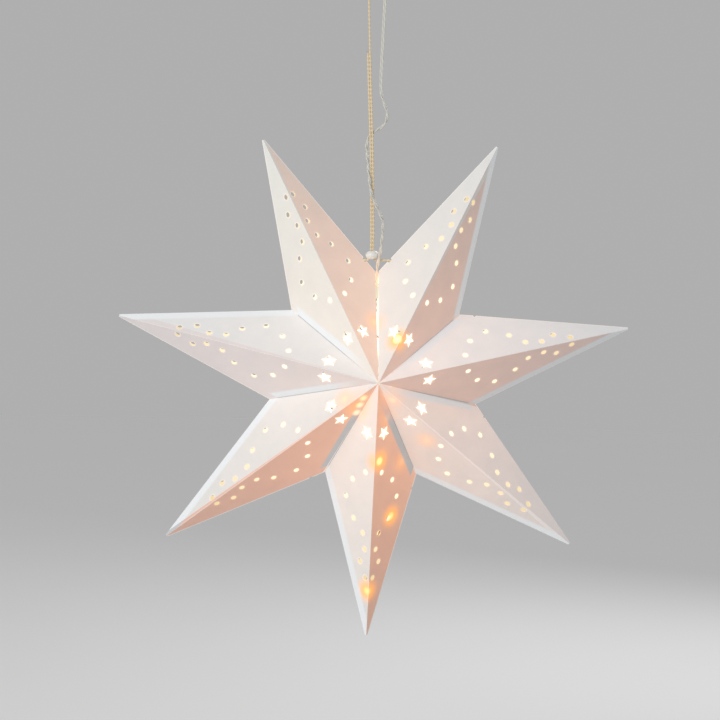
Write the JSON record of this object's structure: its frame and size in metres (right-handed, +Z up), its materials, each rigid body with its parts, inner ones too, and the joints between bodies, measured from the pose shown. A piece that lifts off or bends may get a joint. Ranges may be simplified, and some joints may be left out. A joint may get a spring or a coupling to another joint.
{
  "type": "led paper star",
  "caption": "Folded card star with punched holes and a light string inside, hung on a braided cord through a bead and fed by a thin twisted lead with a round low-voltage plug.",
  "frame": {"origin": "bearing point inside the top of the hanging loop, where a hook carries the cord", "axes": "+Z up along the hanging cord, +X to the right seen from the front, -Y towards the viewer of the front face"},
  "size_m": [0.5868, 0.1692, 0.8423],
  "materials": {
    "card": "matte",
    "cord": "braided",
    "bead": "gloss",
    "lead": "clear, with bright wires inside",
    "sleeve": "satin",
    "plug": "satin",
    "contact": "nickel plated",
    "tie": "satin",
    "string_wire": "clear, with copper inside",
    "holder": "gloss",
    "lamp": "clear, lit"
  },
  "bodies": {
    "root": {"star_arm_1": "card", "star_arm_2": "card", "star_arm_3": "card", "star_arm_4": "card", "star_arm_5": "card", "star_arm_6": "card", "star_arm_7": "card", "cord_sling": "cord", "hanging_cord": "cord", "cord_tail": "cord", "cord_knot": "cord", "hanging_loop": "cord", "cord_bead": "bead", "supply_lead": "lead", "splice_sleeve": "sleeve", "plug_relief": "plug", "plug_body": "plug", "plug_barrel": "contact", "cable_tie": "tie", "light_wire": "string_wire", "holder_1": "holder", "holder_2": "holder", "holder_3": "holder", "holder_4": "holder", "holder_5": "holder", "holder_6": "holder", "holder_7": "holder", "holder_8": "holder", "holder_9": "holder", "holder_10": "holder", "lamp_1": "lamp", "lamp_2": "lamp", "lamp_3": "lamp", "lamp_4": "lamp", "lamp_5": "lamp", "lamp_6": "lamp", "lamp_7": "lamp", "lamp_8": "lamp", "lamp_9": "lamp", "lamp_10": "lamp"}
  },
  "joints": []
}
